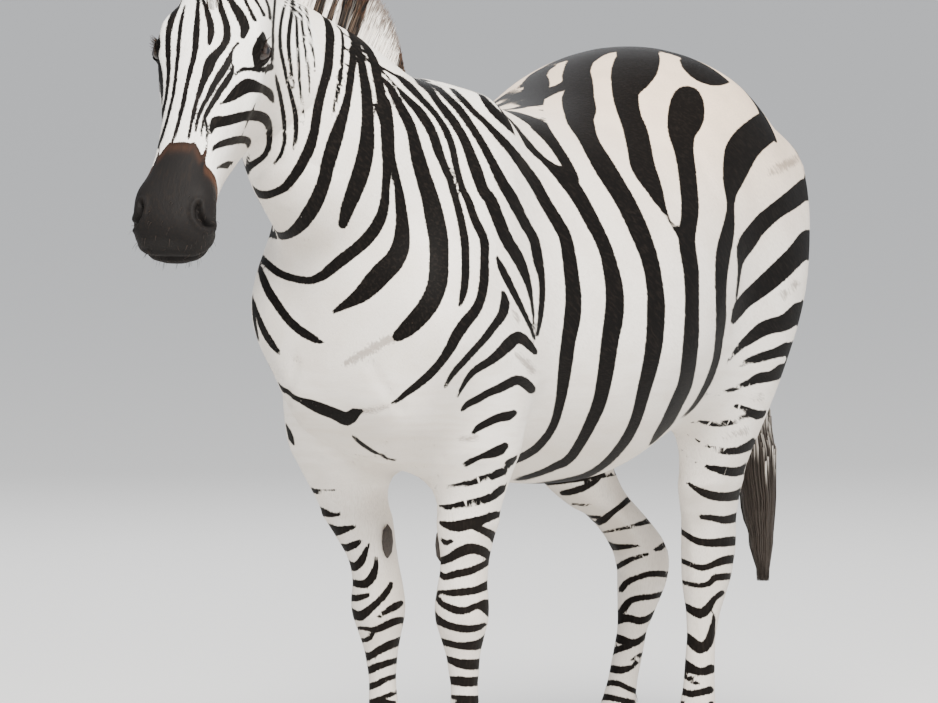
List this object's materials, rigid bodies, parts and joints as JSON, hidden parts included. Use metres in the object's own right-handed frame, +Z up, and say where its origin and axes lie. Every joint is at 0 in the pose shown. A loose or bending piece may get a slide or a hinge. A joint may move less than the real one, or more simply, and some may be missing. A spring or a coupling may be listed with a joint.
{
  "type": "zebra",
  "caption": "Life-size plains zebra mare standing on four hooves, head turned to her left, upright mane, tail hanging.",
  "frame": {"origin": "on the floor under the middle of the animal's bounding box", "axes": "+Z up, -Y the way she faces, +X her left side"},
  "size_m": [0.5922, 2.0211, 1.6512],
  "materials": {
    "coat": "short smooth hair, black and cream-white stripes",
    "ear": "short hair outside, longer pale hair inside, dark tip",
    "mane": "stiff upright hair, striped like the neck, dark brown tips",
    "tail_hair": "long coarse dark brown hair",
    "muzzle": "nearly bare dark skin with very short hair",
    "chestnut": "rough bare callus",
    "hoof": "dull horn with fine growth rings",
    "eye": "wet, glossy, dark brown"
  },
  "bodies": {
    "root": {"barrel": "coat", "chest": "coat", "chestnut_left": "chestnut", "chestnut_right": "chestnut", "ear_left": "ear", "ear_right": "ear", "eye_left": "eye", "eye_right": "eye", "fore_left_cannon": "coat", "fore_left_forearm": "coat", "fore_left_hoof": "hoof", "fore_left_knee": "coat", "fore_left_pastern": "coat", "fore_right_cannon": "coat", "fore_right_forearm": "coat", "fore_right_hoof": "hoof", "fore_right_knee": "coat", "fore_right_pastern": "coat", "head": "coat", "hind_left_cannon": "coat", "hind_left_gaskin": "coat", "hind_left_hock": "coat", "hind_left_hoof": "hoof", "hind_left_pastern": "coat", "hind_right_cannon": "coat", "hind_right_gaskin": "coat", "hind_right_hock": "coat", "hind_right_hoof": "hoof", "hind_right_pastern": "coat", "mane": "mane", "muzzle": "muzzle", "neck": "coat", "rump": "coat", "tail_brush": "tail_hair", "tail_dock": "coat"}
  },
  "joints": []
}
